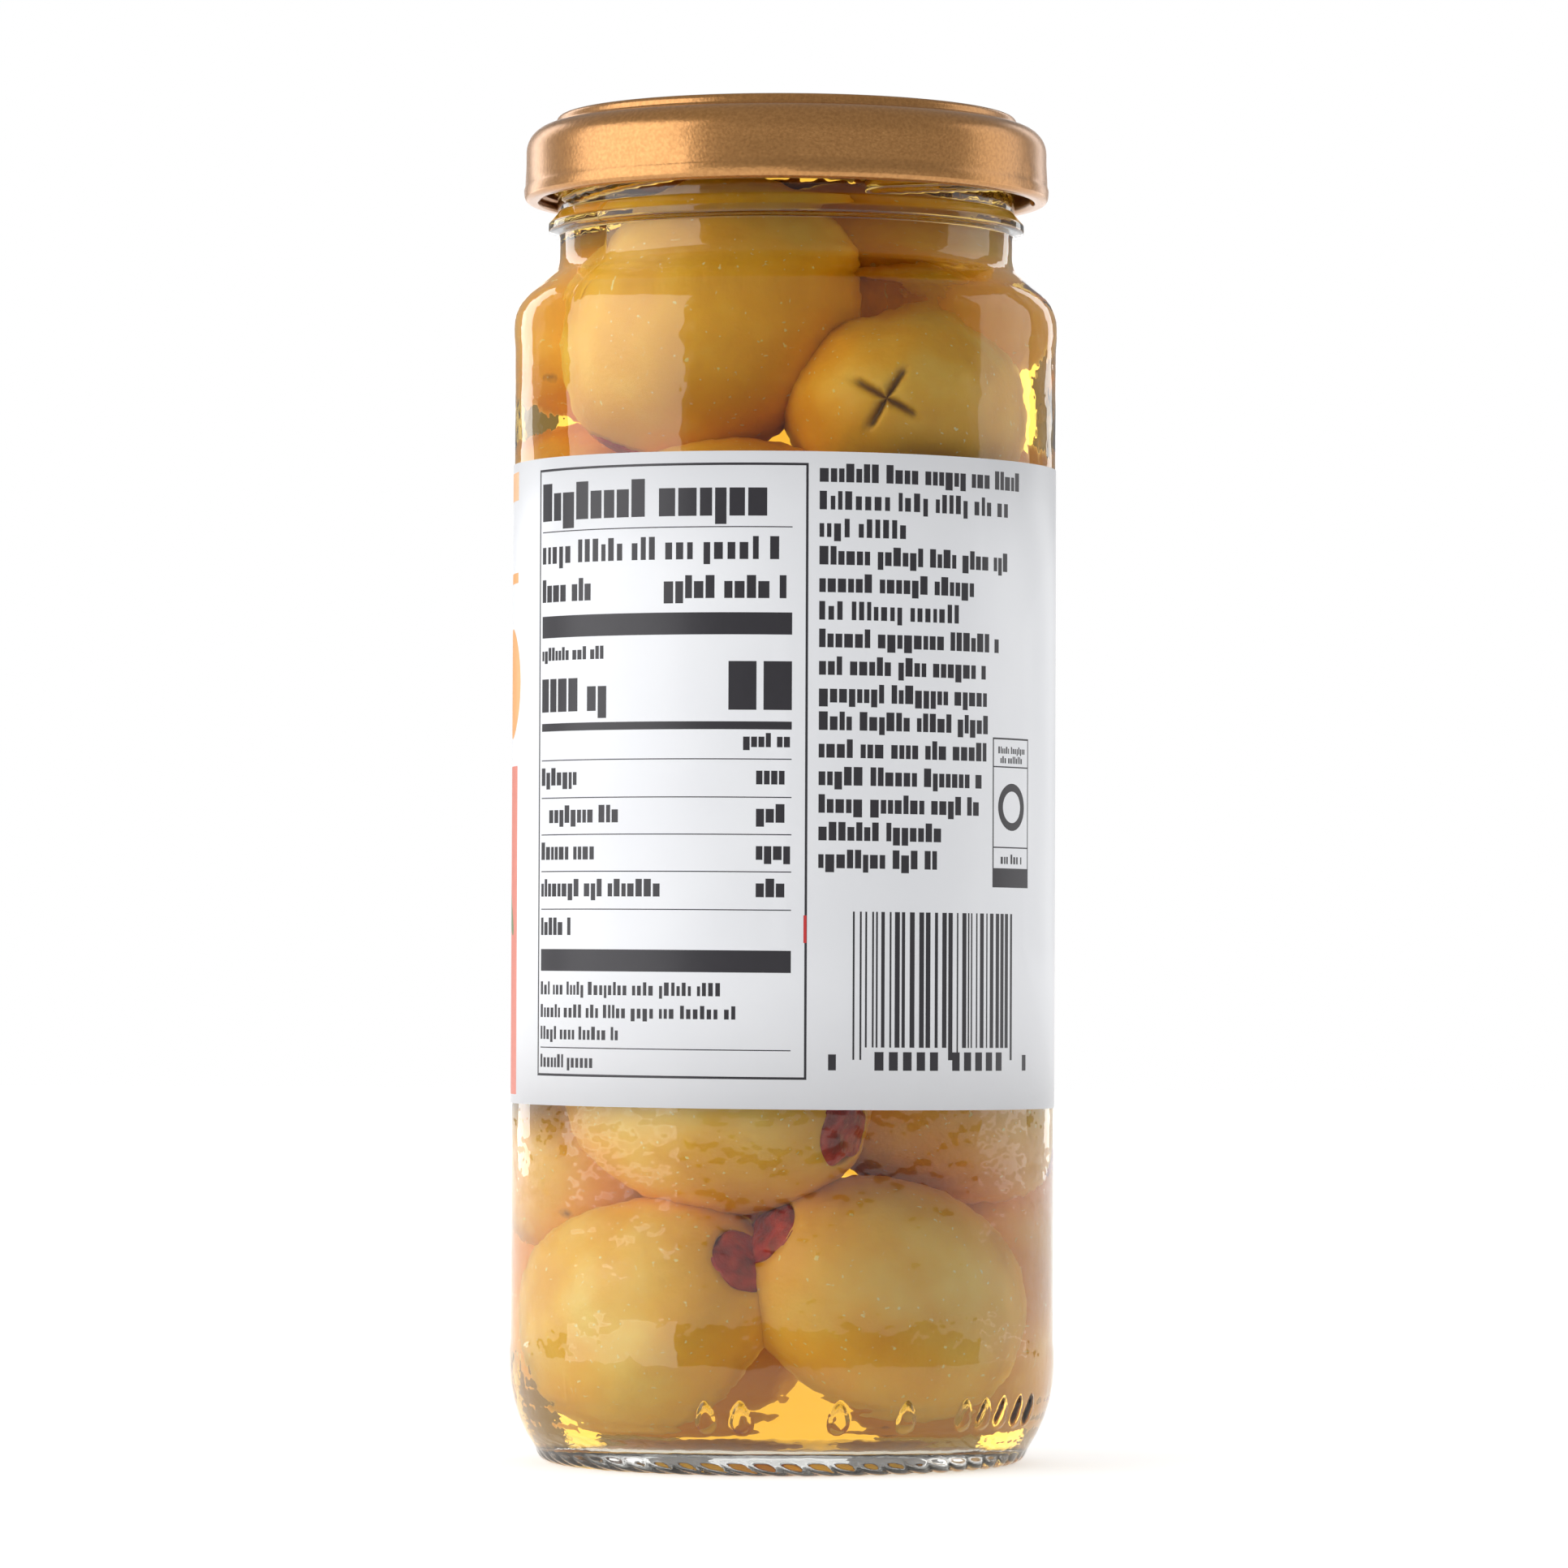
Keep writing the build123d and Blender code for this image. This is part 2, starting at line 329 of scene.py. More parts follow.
def pimento_material():
    material, tree, shader = principled("pimento_flesh", roughness=0.28, ior=1.45)
    colour = ramp(tree, noise(tree, 420, 3), [
        (0.35, (0.20, 0.008, 0.012)), (0.55, (0.46, 0.022, 0.022)), (0.72, (0.62, 0.075, 0.045))])
    tree.links.new(colour, shader.inputs["Base Color"])
    bumped(tree, shader, noise(tree, 900, 3), 0.0004, 0.8)
    return material


def lid_material():
    material, tree, shader = principled("lid_lacquer", metallic=0.75, roughness=0.27, ior=1.5)
    colour = ramp(tree, noise(tree, 2600, 2), [
        (0.35, (0.46, 0.215, 0.065)), (0.65, (0.56, 0.275, 0.09))])
    tree.links.new(colour, shader.inputs["Base Color"])
    shader.inputs["Coat Weight"].default_value = 0.25
    shader.inputs["Coat Roughness"].default_value = 0.22
    bumped(tree, shader, noise(tree, 3200, 2), 0.00004, 0.5)
    return material


def film_material():
    material, tree, shader = principled("label_film", roughness=0.38, ior=1.48)
    colour = ramp(tree, noise(tree, 60, 2), [(0.3, (0.80, 0.81, 0.84)), (0.7, (0.84, 0.85, 0.875))])
    tree.links.new(colour, shader.inputs["Base Color"])
    bumped(tree, shader, noise(tree, 1800, 2), 0.00002, 0.4)
    return material


def ink_material(name, colour):
    material, tree, shader = principled(name, roughness=0.36, ior=1.48)
    darker = tuple(part * 0.92 for part in colour)
    shaded = ramp(tree, noise(tree, 900, 2), [(0.3, darker), (0.7, colour)])
    tree.links.new(shaded, shader.inputs["Base Color"])
    return material


glass_outside = glass_material("glass_outside")
glass_inside = glass_material("glass_inside", (0.15, 0.15, 0.15, 1))
olive_skin = olive_material()
pimento_flesh = pimento_material()


# --------------------------------------------------------------------- jar

def shoulder_z(radius):
    return NECK_CORNER_Z - (radius - NECK_R) / math.tan(SHOULDER_LEAN)


def inner_shoulder_z(radius):
    return shoulder_z(radius) - WALL_T / math.sin(SHOULDER_LEAN)


def cavity_corners(grown=0.0):
    """Inside of the jar from the floor up, grown into the wall if asked."""
    return [
        (0, FLOOR_MID_Z - grown, 0),
        (INNER_R - 3.2 + grown, INNER_FOOT_Z - grown, 4.0),
        (INNER_R + grown, INNER_FOOT_Z + 4.8, 10.0),
        (INNER_R + grown, inner_shoulder_z(INNER_R), 2.7),
        (MOUTH_R + grown, inner_shoulder_z(MOUTH_R), 5.3),
    ]


OUTSIDE_CORNERS = [
    (0, KNURL_H + 1.9, 0),
    (FOOT_R - 5.9, KNURL_H + 1.9, 2.0),
    (FOOT_R - 3.3, KNURL_H, 0.8),
    (FOOT_R, KNURL_H, 3.0),
    (BAND_R, KNURL_H + 5.76, 17.0),
    (BAND_R, 13.0, 0),
    (BODY_R, 14.4, 0),
    (BODY_R, shoulder_z(BAND_R) - 5.0, 0),
    (BAND_R, shoulder_z(BAND_R) - 3.6, 0),
    (BAND_R, shoulder_z(BAND_R), 5.0),
    (NECK_R, NECK_CORNER_Z, 3.0),
    (NECK_R, BEAD_Z, 0.3),
    (BEAD_R, BEAD_Z + 0.25, 0.5),
    (BEAD_R, BEAD_Z + 1.3, 0.5),
    (FINISH_R, BEAD_Z + 2.5, 0.5),
    (FINISH_R, JAR_H, 1.0),
    (MOUTH_R, JAR_H, 1.0),
]


def glass_spacing(radius, height):
    if height > BEAD_Z and radius > MOUTH_R + 1:
        return 0.22
    if height < 9.5 and radius > FOOT_R - 3.6:
        return 0.28
    return 5.0


def glass_relief(radius, height, azimuth):
    """Threads, knurls, mould dots and seams, outwards from the plain glass."""
    outer = radius > FINISH_R - 0.3
    turned = (azimuth - THREAD_START) % 90
    above = (height - (THREAD_Z + THREAD_RISE * turned)) / THREAD_H
    ridge = smooth(above * 3.2) * smooth((1 - above) * 2.4)
    ends = smooth(turned / 2.5) * smooth((THREAD_SPAN - turned) / 6)
    raised = np.where(outer & (height > BEAD_Z + 2.4), ridge * ends * THREAD_PROUD, 0)

    phase = (azimuth * KNURL_COUNT / 360 + (radius - FOOT_R) * 0.42) % 1
    scallop = np.sqrt(np.clip(1 - (2 * phase - 1) ** 2, 0, 1))
    ring = smooth((radius - (FOOT_R - 3.3)) / 0.7) * smooth((1.9 - height) / 1.2)
    raised += np.where((height < 2) & (radius > FOOT_R - 3.4), scallop * ring * KNURL_H, 0)

    for dot in DOT_AZIMUTHS:
        across = (azimuth - dot) * math.pi / 180 * radius
        along = height - DOT_Z
        reach = np.where(along > 0, DOT_HALF_W + 1.2, DOT_HALF_W)
        width = DOT_HALF_W * (1 - 0.35 * np.clip(along / 2.4, 0, 1))
        gone = (across / width) ** 2 + (along / reach) ** 2
        near = (radius > 29) & (height < 10)
        raised += np.where(near, DOT_PROUD * np.clip(1 - gone, 0, 1) ** 0.6, 0)
    for seam in SEAM_AZIMUTHS:
        off = (azimuth - seam + 180) % 360 - 180
        wide = (radius > NECK_R - 0.1) & (height > 8)
        in_band = (height < 13) | (height > shoulder_z(BAND_R) - 1)
        raised += np.where(wide & in_band, 0.05 * np.exp(-((off / 0.35) ** 2)), 0)
    return raised


def make_jar():
    outside = densified(rounded(OUTSIDE_CORNERS + [(MOUTH_R, JAR_H - 6, 0)]), glass_spacing)
    inside = rounded([(MOUTH_R, JAR_H - 6, 0)] + cavity_corners()[::-1])
    inside = densified(inside[1:], lambda radius, height: 5.0)
    profile = np.vstack([outside, inside])
    outside_rows = len(outside) - 2
    extra = [dot + step for dot in DOT_AZIMUTHS for step in np.arange(-2.8, 2.9, 0.4)]
    extra += [seam + step for seam in SEAM_AZIMUTHS for step in (-0.6, -0.3, 0, 0.3, 0.6)]
    even = np.arange(0, 360, 360 / (KNURL_COUNT * 8))
    azimuths = np.sort(np.concatenate([even, np.array(extra) % 360]))
    azimuths = azimuths[np.concatenate([[True], np.diff(azimuths) > 0.12])]
    signed = (azimuths + 180) % 360 - 180
    return lathe(
        "glass_jar", profile, signed, [glass_outside, glass_inside],
        glass_relief, lambda row: 0 if row < outside_rows else 1,
    )


def make_brine():
    corners = cavity_corners(0.2)
    corners += [(MOUTH_R + 0.2, LEVEL_Z, 0.15), (0, LEVEL_Z - 0.05, 0)]
    profile = densified(rounded(corners), lambda radius, height: 5.0)
    return lathe("brine_fill", profile, np.arange(0, 360, 1.5), [brine_material()])


# --------------------------------------------------------------------- lid

LID_CORNERS = [
    (0, LID_TOP - 0.95, 0),
    (13.0, LID_TOP - 0.95, 1.0),
    (14.2, LID_TOP - 0.7, 1.0),
    (23.6, LID_TOP - 0.7, 0.4),
    (24.6, LID_TOP, 0.6),
    (26.9, LID_TOP, 0.6),
    (26.9, LID_TOP - 1.2, 0.4),
    (CURL_R - 0.15, LID_TOP - 1.2, 3.0),
    (CURL_R - 0.15, LID_BOTTOM + 2.0, 0),
    (CURL_R, LID_BOTTOM + 1.5, 0),
    (CURL_R, LID_BOTTOM, 0.7),
    (CURL_R - 1.95, LID_BOTTOM, 0.7),
    (CURL_R - 1.95, LID_BOTTOM + 1.7, 0.7),
    (CURL_R - 0.4, LID_BOTTOM + 1.7, 0),
    (CURL_R - 0.4, LID_TOP - 1.45, 2.75),
    (27.2, LID_TOP - 1.45, 0),
    (27.2, JAR_H, 0),
    (23.8, JAR_H, 0),
    (23.8, LID_TOP - 1.2, 0),
    (0, LID_TOP - 1.2, 0),
]
LUG_AZIMUTH = -11
LUG_HALF_SPAN = 12.5


def lid_relief(radius, height, azimuth):
    """Lugs folded in from the curl, and the dents that forming them leaves."""
    off = (azimuth - LUG_AZIMUTH + 45) % 90 - 45
    lug = smooth((LUG_HALF_SPAN + 1.5 - np.abs(off)) / 3)
    inside = (radius < CURL_R - 1.5) & (radius > 27.4) & (height < LID_BOTTOM + 1.3)
    dent = smooth((height - LID_BOTTOM) / 1.5) * smooth((LID_BOTTOM + 5 - height) / 3)
    outside = (radius > CURL_R - 0.3) & (height > LID_BOTTOM)
    return np.where(inside, lug * 1.2, 0) - np.where(outside, lug * dent * 0.12, 0)


def make_lid():
    profile = rounded(LID_CORNERS, 10)[::-1]
    profile = densified(profile, lambda radius, height: 0.5 if radius > 26 else 4.0)
    return lathe("lid_cap", profile[::-1], np.arange(-180, 180, 1.5), [lid_material()], lid_relief)


# ------------------------------------------------------------------- olives

OLIVE_HALF = 15.8
OLIVE_R = 12.4
HOLE_R = 3.7

# (azimuth, distance from the axis, height), (direction of the stuffed end), size
OLIVES = [
    ((-57, 16.2, 17), (0.66, -0.66, 0.26), 1.00),
    ((32, 16.2, 17.5), (-0.82, -0.42, 0.36), 1.02),
    ((120, 15.5, 18), (0.6, 0.5, 0.6), 0.98),
    ((-150, 15.5, 18), (0.2, 0.9, 0.3), 1.00),
    ((-46, 15.2, 38), (0.84, -0.52, -0.16), 1.04),
    ((66, 15.2, 40), (0.72, 0.25, -0.20), 1.04),
    ((155, 15.0, 40), (0.7, 0.5, -0.4), 1.00),
    ((-122, 15.0, 41), (0.3, 0.6, 0.5), 0.96),
    ((5, 15.5, 61), (0.6, -0.6, 0.5), 1.00),
    ((118, 15.0, 62), (0.5, 0.3, 0.8), 1.00),
    ((-118, 15.0, 63), (0.1, 0.3, 0.95), 1.00),
    ((-50, 15.0, 82), (0.3, 0.5, 0.8), 1.00),
    ((65, 15.0, 82), (0.9, 0.2, -0.4), 0.98),
    ((180, 15.0, 82), (0.7, 0.3, 0.6), 1.00),
    ((105, 15.0, 103), (0.2, 0.9, 0.3), 0.98),
    ((-125, 15.0, 103), (0.5, 0.8, 0.2), 1.00),
    ((10, 12.5, 98), (0.95, 0.2, 0.1), 0.92),
    ((-38, 15.0, 121), (-0.34, 0.10, -0.92), 1.10),
    ((62, 15.6, 121), (-0.16, 0.96, 0.02), 0.98),
    ((175, 14.2, 123), (0.7, 0.5, 0.5), 0.95),
    ((40, 7.5, 141), (-0.92, -0.38, 0.08), 0.94),
]


def cavity_radius(height):
    """Room inside the glass at a height."""
    sloping = MOUTH_R + (inner_shoulder_z(MOUTH_R) - height) * math.tan(SHOULDER_LEAN)
    heel = INNER_R - 3.2 + (height - INNER_FOOT_Z) * 0.66
    return np.minimum(np.clip(sloping, MOUTH_R, INNER_R), np.minimum(heel, INNER_R))


def settled():
    """Pushes overlapping olives apart inside the jar, each as balls on an axis."""
    centres = np.array([on_jar(a, r, z) for (a, r, z), _, _ in OLIVES], float).reshape(-1, 3)
    axes = np.array([axis for _, axis, _ in OLIVES], float)
    axes /= np.linalg.norm(axes, axis=1)[:, None]
    sizes = np.array([size for _, _, size in OLIVES])
    focal = OLIVE_HALF ** 2 - OLIVE_R ** 2
    offsets = np.array([-1, -0.55, 0, 0.55, 1]) * focal / OLIVE_HALF
    radii = OLIVE_R * np.sqrt(1 - offsets ** 2 / focal) + 0.25
    for _ in range(400):
        balls = centres[:, None] + axes[:, None] * (offsets[None, :, None] * sizes[:, None, None])
        reach = radii[None] * sizes[:, None]
        push = np.zeros_like(centres)
        turn = np.zeros_like(axes)
        for one in range(len(centres)):
            for other in range(one + 1, len(centres)):
                between = balls[one][:, None] - balls[other][None]
                distance = np.linalg.norm(between, axis=2) + 1e-9
                overlap = reach[one][:, None] + reach[other][None] - distance
                deepest = np.unravel_index(np.argmax(overlap), overlap.shape)
                if overlap[deepest] > 0:
                    shift = between[deepest] / distance[deepest] * overlap[deepest] * 0.5
                    push[one] += shift
                    push[other] -= shift
                    turn[one] += shift * offsets[deepest[0]] * 0.00015
                    turn[other] -= shift * offsets[deepest[1]] * 0.00015
        out = np.linalg.norm(balls[..., :2], axis=2)
        excess = out + reach - cavity_radius(balls[..., 2])
        worst = np.argmax(excess, axis=1)
        for one, ball in enumerate(worst):
            if excess[one, ball] > 0:
                inward = np.append(balls[one, ball, :2] / max(out[one, ball], 1e-6), 0)
                push[one] -= inward * excess[one, ball]
                turn[one] -= inward * excess[one, ball] * offsets[ball] * 0.00015
            floor = (INNER_FOOT_Z + 1.5) - (balls[one, :, 2] - reach[one]).min()
            roof = (balls[one, :, 2] + reach[one]).max() - (LEVEL_Z - 0.3)
            push[one, 2] += max(floor, 0) - max(roof, 0)
        centres += push * 0.6
        axes += turn
        axes /= np.linalg.norm(axes, axis=1)[:, None]
    return centres, axes, sizes


def turned_to(axis):
    return np.array(Vector((0, 0, 1)).rotation_difference(Vector(axis)).to_matrix())


def olive(seed, size, crossed):
    """Lumpy stoned olive: a hole at the top end, a small scar or cross below."""
    rng = np.random.default_rng(seed)
    ring_angles = np.linspace(0, 2 * math.pi, 72, endpoint=False)
    slope = np.linspace(math.pi, 0.30, 46)
    radius = OLIVE_R * np.sin(slope) ** 0.94
    height = OLIVE_HALF * np.cos(slope)
    keep = (radius > HOLE_R) | (height < 0)
    radius, height = list(radius[keep]), list(height[keep])
    rim = height[-1]
    for share, drop in ((0.99, 0.15), (0.93, 0.6), (0.88, 1.4), (0.8, 2.6), (0.4, 3.0)):
        radius.append(HOLE_R * share)
        height.append(rim - drop)
    radius, height = np.array(radius)[:, None], np.array(height)[:, None]
    lumps = sum(
        rng.uniform(0.004, 0.02)
        * np.sin(k * ring_angles[None] + rng.uniform(0, 6.3) + height * rng.uniform(-0.12, 0.12))
        for k in (1, 2, 3, 5, 7)
    )
    grown = radius * (1 + lumps * (radius > HOLE_R))
    x, y = grown * np.cos(ring_angles), grown * np.sin(ring_angles)
    z = height + 0 * x + (x / 13) ** 2 * rng.uniform(-0.5, 0.5)
    # Darkening kept in the "shade" point attribute: painted shade round the rim and inside of the pimento
    # hole, and a small dark scar at the bottom tip, which is the olive's own colour.
    shade = smooth((HOLE_R * 1.12 - radius) / 0.9) * (height > 0) + 0 * x
    shade = np.maximum(shade * 0.7, 0.8 * smooth((0.9 - radius) / 0.6) * (height < 0))
    if crossed:
        near = np.minimum(np.abs(x * 0.9 + y * 0.42), np.abs(y * 0.9 - x * 0.42))
        cut = np.exp(-((near / 0.42) ** 2)) * smooth((4.6 - radius) / 1.5) * (height < 0)
        z = z + cut * 1.1
        # The cut cross is darkened as well: painted shade in the slits.
        shade = np.maximum(shade, cut)
    points = np.stack([x, y, z], -1).reshape(-1, 3) * size
    rows, columns = x.shape
    faces = [
        (r * columns + c, r * columns + (c + 1) % columns,
         (r + 1) * columns + (c + 1) % columns, (r + 1) * columns + c)
        for r in range(rows - 1) for c in range(columns)
    ]
    top = (rows - 1) * columns
    faces.append(tuple(range(top, top + columns)))
    faces.append(tuple(range(columns - 1, -1, -1)))
    return points, faces, shade.reshape(-1), rim * size


def pimento(seed, rim, size):
    """Folded piece of red pepper that fills the hole, a little proud of it."""
    rng = np.random.default_rng(seed + 500)
    ring_angles = np.linspace(0, 2 * math.pi, 40, endpoint=False)
    shares = np.array([1.0, 0.97, 0.88, 0.72, 0.5, 0.25, 0.05])[:, None]
    edge = 1 + sum(
        rng.uniform(0.02, 0.07) * np.sin(k * ring_angles[None] + rng.uniform(0, 6.3))
        for k in (2, 3, 4, 6)
    )
    radius = HOLE_R * 1.03 * shares * edge
    x, y = radius * np.cos(ring_angles), radius * np.sin(ring_angles)
    fold = rng.uniform(0, 3.1)
    across = x * math.cos(fold) + y * math.sin(fold)
    folds = 0.30 * np.sin(across * 1.5 + rng.uniform(0, 6)) * (1 - shares ** 2)
    z = rim / size - 0.15 + 0.75 * (1 - shares ** 3) + folds
    z[0] = rim / size - 2.2
    points = np.stack([x, y, z], -1).reshape(-1, 3) * size
    rows, columns = x.shape
    faces = [
        (r * columns + c, r * columns + (c + 1) % columns,
         (r + 1) * columns + (c + 1) % columns, (r + 1) * columns + c)
        for r in range(rows - 1) for c in range(columns)
    ]
    faces.append(tuple(range((rows - 1) * columns, rows * columns)))
    faces.append(tuple(range(columns - 1, -1, -1)))
    return points, faces


CROSSED = (18, 3, 10)


def moved_off_glass(points):
    """Shift that brings an olive's skin back inside the glass."""
    shift = np.zeros(3)
    for _ in range(30):
        moved = points + shift
        out = np.hypot(moved[:, 0], moved[:, 1])
        excess = out - cavity_radius(moved[:, 2]) + 0.25
        worst = int(np.argmax(excess))
        if excess[worst] <= 0:
            break
        shift[:2] -= moved[worst, :2] / out[worst] * excess[worst]
    lowest = (points[:, 2] + shift[2]).min() - (FLOOR_MID_Z + 0.2)
    highest = (points[:, 2] + shift[2]).max() - (LEVEL_Z - 0.2)
    shift[2] -= min(lowest, 0) + max(highest, 0)
    return shift


def make_olives():
    centres, axes, sizes = settled()
    skins, fillings, shades = [], [], []
    for number, (centre, axis, size) in enumerate(zip(centres, axes, sizes)):
        spin = turned_to(axis)
        points, faces, shade, rim = olive(number, size, number in CROSSED)
        skin = points @ spin.T + centre
        centre = centre + moved_off_glass(skin)
        skins.append((points @ spin.T + centre, faces))
        shades.append(shade)
        points, faces = pimento(number, rim, size)
        fillings.append((points @ spin.T + centre, faces))
    placed(joined("olives", skins, [olive_skin], shades=shades), "olive")
    placed(joined("pimentos", fillings, [pimento_flesh]), "pimento")


# -------------------------------------------------------------------- label

def on_label(across, z, lift=0.0):
    """Point on the label: across is the arc from the front line, to the right."""
    azimuth = np.degrees(np.asarray(across, float) / LABEL_R)
    tilt = LABEL_TILT * np.sin(np.radians(azimuth))
    return on_jar(azimuth, LABEL_R + lift, np.asarray(z, float) - tilt)


def across_at(azimuth):
    return math.radians(azimuth) * LABEL_R


def label_strip():
    """The film: outer and inner skin with closed edges and rounded corners."""
    left, right = across_at(LABEL_RIGHT - LABEL_SPAN), across_at(LABEL_RIGHT)
    easing = LABEL_CORNER * (1 - np.cos(np.linspace(0, math.pi / 2, 7)))
    middle = np.linspace(left + LABEL_CORNER, right - LABEL_CORNER, 300)[1:-1]
    across = np.concatenate([left + easing, middle, (right - easing)[::-1]])
    end = np.minimum(across - left, right - across)
    inset = LABEL_CORNER - np.sqrt(np.clip(
        LABEL_CORNER ** 2 - np.clip(LABEL_CORNER - end, 0, None) ** 2, 0, None))
    low, high = LABEL_BOTTOM + 0.25 + inset, LABEL_TOP - 0.25 - inset
    rows = [on_label(across, low + (high - low) * share) for share in (0, 0.25, 0.5, 0.75, 1)]
    inner = [on_label(across, low + (high - low) * share, -0.11) for share in (1, 0.75, 0.5, 0.25, 0)]
    ring = rows + inner
    points = np.concatenate(ring)
    count = len(across)
    faces = []
    for row in range(len(ring)):
        after = (row + 1) % len(ring)
        for column in range(count - 1):
            faces.append((row * count + column, row * count + column + 1,
                          after * count + column + 1, after * count + column))
    faces.append(tuple(row * count for row in range(len(ring)))[::-1])
    faces.append(tuple(row * count + count - 1 for row in range(len(ring))))
    return points, faces


def patch(left, right, bottom, top, lift=PRINT_LIFT):
    """Printed rectangle that follows the label's curve."""
    steps = max(1, math.ceil((right - left) / 0.5))
    across = np.linspace(left, right, steps + 1)
    points = np.concatenate([on_label(across, bottom, lift), on_label(across, top, lift)])
    faces = [(c, c + 1, steps + 2 + c, steps + 1 + c) for c in range(steps)]
    return points, faces


def disc(across, z, half_w, half_h, lift=PRINT_LIFT, turn=0.0):
    """Printed ellipse, built from narrow upright strips so that it hugs the curve."""
    cos, sin = math.cos(turn), math.sin(turn)
    reach = math.hypot(half_w * cos, half_h * sin)
    count = max(12, math.ceil(reach / 0.25))
    x = reach * np.sin(np.linspace(-math.pi / 2, math.pi / 2, count + 1)) * 0.9995
    square = (sin / half_w) ** 2 + (cos / half_h) ** 2
    cross = x * sin * cos * (1 / half_w ** 2 - 1 / half_h ** 2)
    rest = x ** 2 * ((cos / half_w) ** 2 + (sin / half_h) ** 2) - 1
    spread = np.sqrt(np.clip(cross ** 2 - square * rest, 0, None))
    low, high = (-cross - spread) / square, (-cross + spread) / square
    points = np.concatenate([on_label(across + x, z + low, lift), on_label(across + x, z + high, lift)])
    faces = [(c, c + 1, count + 2 + c, count + 1 + c) for c in range(count)]
    return points, faces


def ring(across, z, radius, inner):
    """Small printed ring."""
    angles = np.linspace(0, 2 * math.pi, 48, endpoint=False)
    rings = [
        on_label(across + size * np.cos(angles), z + size * np.sin(angles), PRINT_LIFT)
        for size in (inner, (inner + radius) / 2, radius)
    ]
    faces = []
    for band in range(2):
        for c in range(48):
            after = (c + 1) % 48
            faces.append((band * 48 + c, (band + 1) * 48 + c, (band + 1) * 48 + after, band * 48 + after))
    return np.concatenate(rings), faces


def words(left, right, bottom, height, weight=0.62, rng=RNG):
    """A line of made-up print: letter-sized blocks in word-sized groups."""
    chunks, at = [], left
    while at < right - height * 0.5:
        for _ in range(int(rng.integers(3, 9))):
            width = height * rng.uniform(0.30, 0.52)
            if at + width > right:
                return chunks
            tall = rng.random()
            top = height if tall > 0.7 else height * 0.74
            low = -height * 0.22 if tall < 0.12 else 0
            chunks.append(patch(at, at + width * weight * 1.25, bottom + low, bottom + top))
            at += width * 1.06 + height * 0.06
        at += height * 0.34
    return chunks


def facts_table():
    """Framed table with thick bars, hairlines and lines of made-up print."""
    left, right = -34.6, 2.65
    bottom, top = 44.9, 114.4
    chunks = []
    for edge_left, edge_right, low, high in (
            (left, left + 0.28, bottom, top), (right - 0.28, right, bottom, top),
            (left, right, bottom, bottom + 0.28), (left, right, top - 0.28, top)):
        chunks.append(patch(edge_left, edge_right, low, high))
    inner_left, inner_right = left + 0.75, right - 1.8
    for z, thick in ((95.0, 2.5), (84.3, 0.9), (56.9, 2.5)):
        chunks.append(patch(inner_left, inner_right, z, z + thick))
    for z in (107.1, 80.9, 76.6, 72.4, 68.2, 63.9, 48.1):
        chunks.append(patch(inner_left, inner_right, z, z + 0.12))
    chunks += words(inner_left, inner_right, 108.4, 4.3, 0.80)
    chunks += words(inner_left, inner_right, 103.5, 2.6)
    chunks += words(inner_left, inner_left + 10.5, 99.1, 2.6, 0.78)
    chunks += words(inner_right - 15, inner_right, 99.1, 2.6, 0.78)
    chunks += words(inner_left, inner_left + 12, 92.4, 1.5, 0.75)
    chunks += words(inner_left, inner_left + 13, 86.5, 3.8, 0.80)
    for step in (0, 4.0):
        chunks.append(patch(inner_right - 7.2 + step, inner_right - 4.0 + step, 86.5, 92.0))
    chunks += words(inner_right - 5.5, inner_right, 82.3, 1.6, 0.78)
    for z, length in ((78.1, 9), (73.8, 13), (69.6, 11), (65.4, 20), (61.0, 7)):
        inset = 1.8 if length == 13 else 0
        chunks += words(inner_left + inset, inner_left + inset + length, z, 2.0, 0.74)
        if z > 62:
            chunks += words(inner_right - 4.0, inner_right, z, 2.1, 0.80)
    for z, length in ((54.2, 27), (51.6, 29), (49.1, 14), (45.9, 11)):
        chunks += words(inner_left, inner_left + length, z, 1.5)
    return chunks


def side_text():
    """Column of made-up print right of the table."""
    chunks = []
    left = 3.9
    for line in range(15):
        z = 112.3 - line * 3.11
        bold = 0.62 if line in (1, 2, 5) else 0.76
        length = (28.5, 26.5, 11, 26.5, 20, 18, 25, 23, 22.5, 22.5, 22, 22, 21, 16, 15.5)[line]
        chunks += words(left, left + length, z, 2.1, bold)
    return chunks


def care_mark():
    """Small framed box with a plain ring in the middle."""
    left, right, bottom, top = 26.9, 34.3, 66.9, 84.0
    chunks = [patch(left, right, bottom, bottom + 2.2)]
    for edge in ((left, left + 0.2, bottom, top), (right - 0.2, right, bottom, top),
                 (left, right, top - 0.2, top), (left, right, 80.6, 80.75),
                 (left, right, 71.4, 71.55)):
        chunks.append(patch(*edge))
    chunks += words(left + 1, right - 0.8, 82.2, 0.8)
    chunks += words(left + 1.4, right - 1.2, 81.1, 0.8)
    chunks.append(ring((left + right) / 2, 76.1, 2.7, 1.8))
    chunks += words(left + 1.5, right - 1, 69.6, 1.1)
    return chunks


def bar_code():
    """Made-up pattern of upright bars that codes nothing."""
    rng = np.random.default_rng(21)
    left, right, bottom, top = 7.9, 31.4, 48.6, 63.9
    chunks, at, count = [], left, 0
    while at < right - 0.4:
        width = float(rng.choice([0.22, 0.22, 0.42, 0.62]))
        guard = count in (0, 1, 14, 15) or at > right - 1.4
        chunks.append(patch(at, min(at + width, right), bottom - (1.4 if guard else 0), top))
        at += width + float(rng.choice([0.24, 0.42, 0.6]))
        count += 1
    for start in (10.5, 20.6):
        for step in range(5):
            chunks.append(patch(start + step * 1.75, start + step * 1.75 + 1.1, 46.0, 48.1))
    for start in (5.1, 33.0):
        chunks.append(patch(start, start + 0.9, 46.0, 47.8))
    return chunks


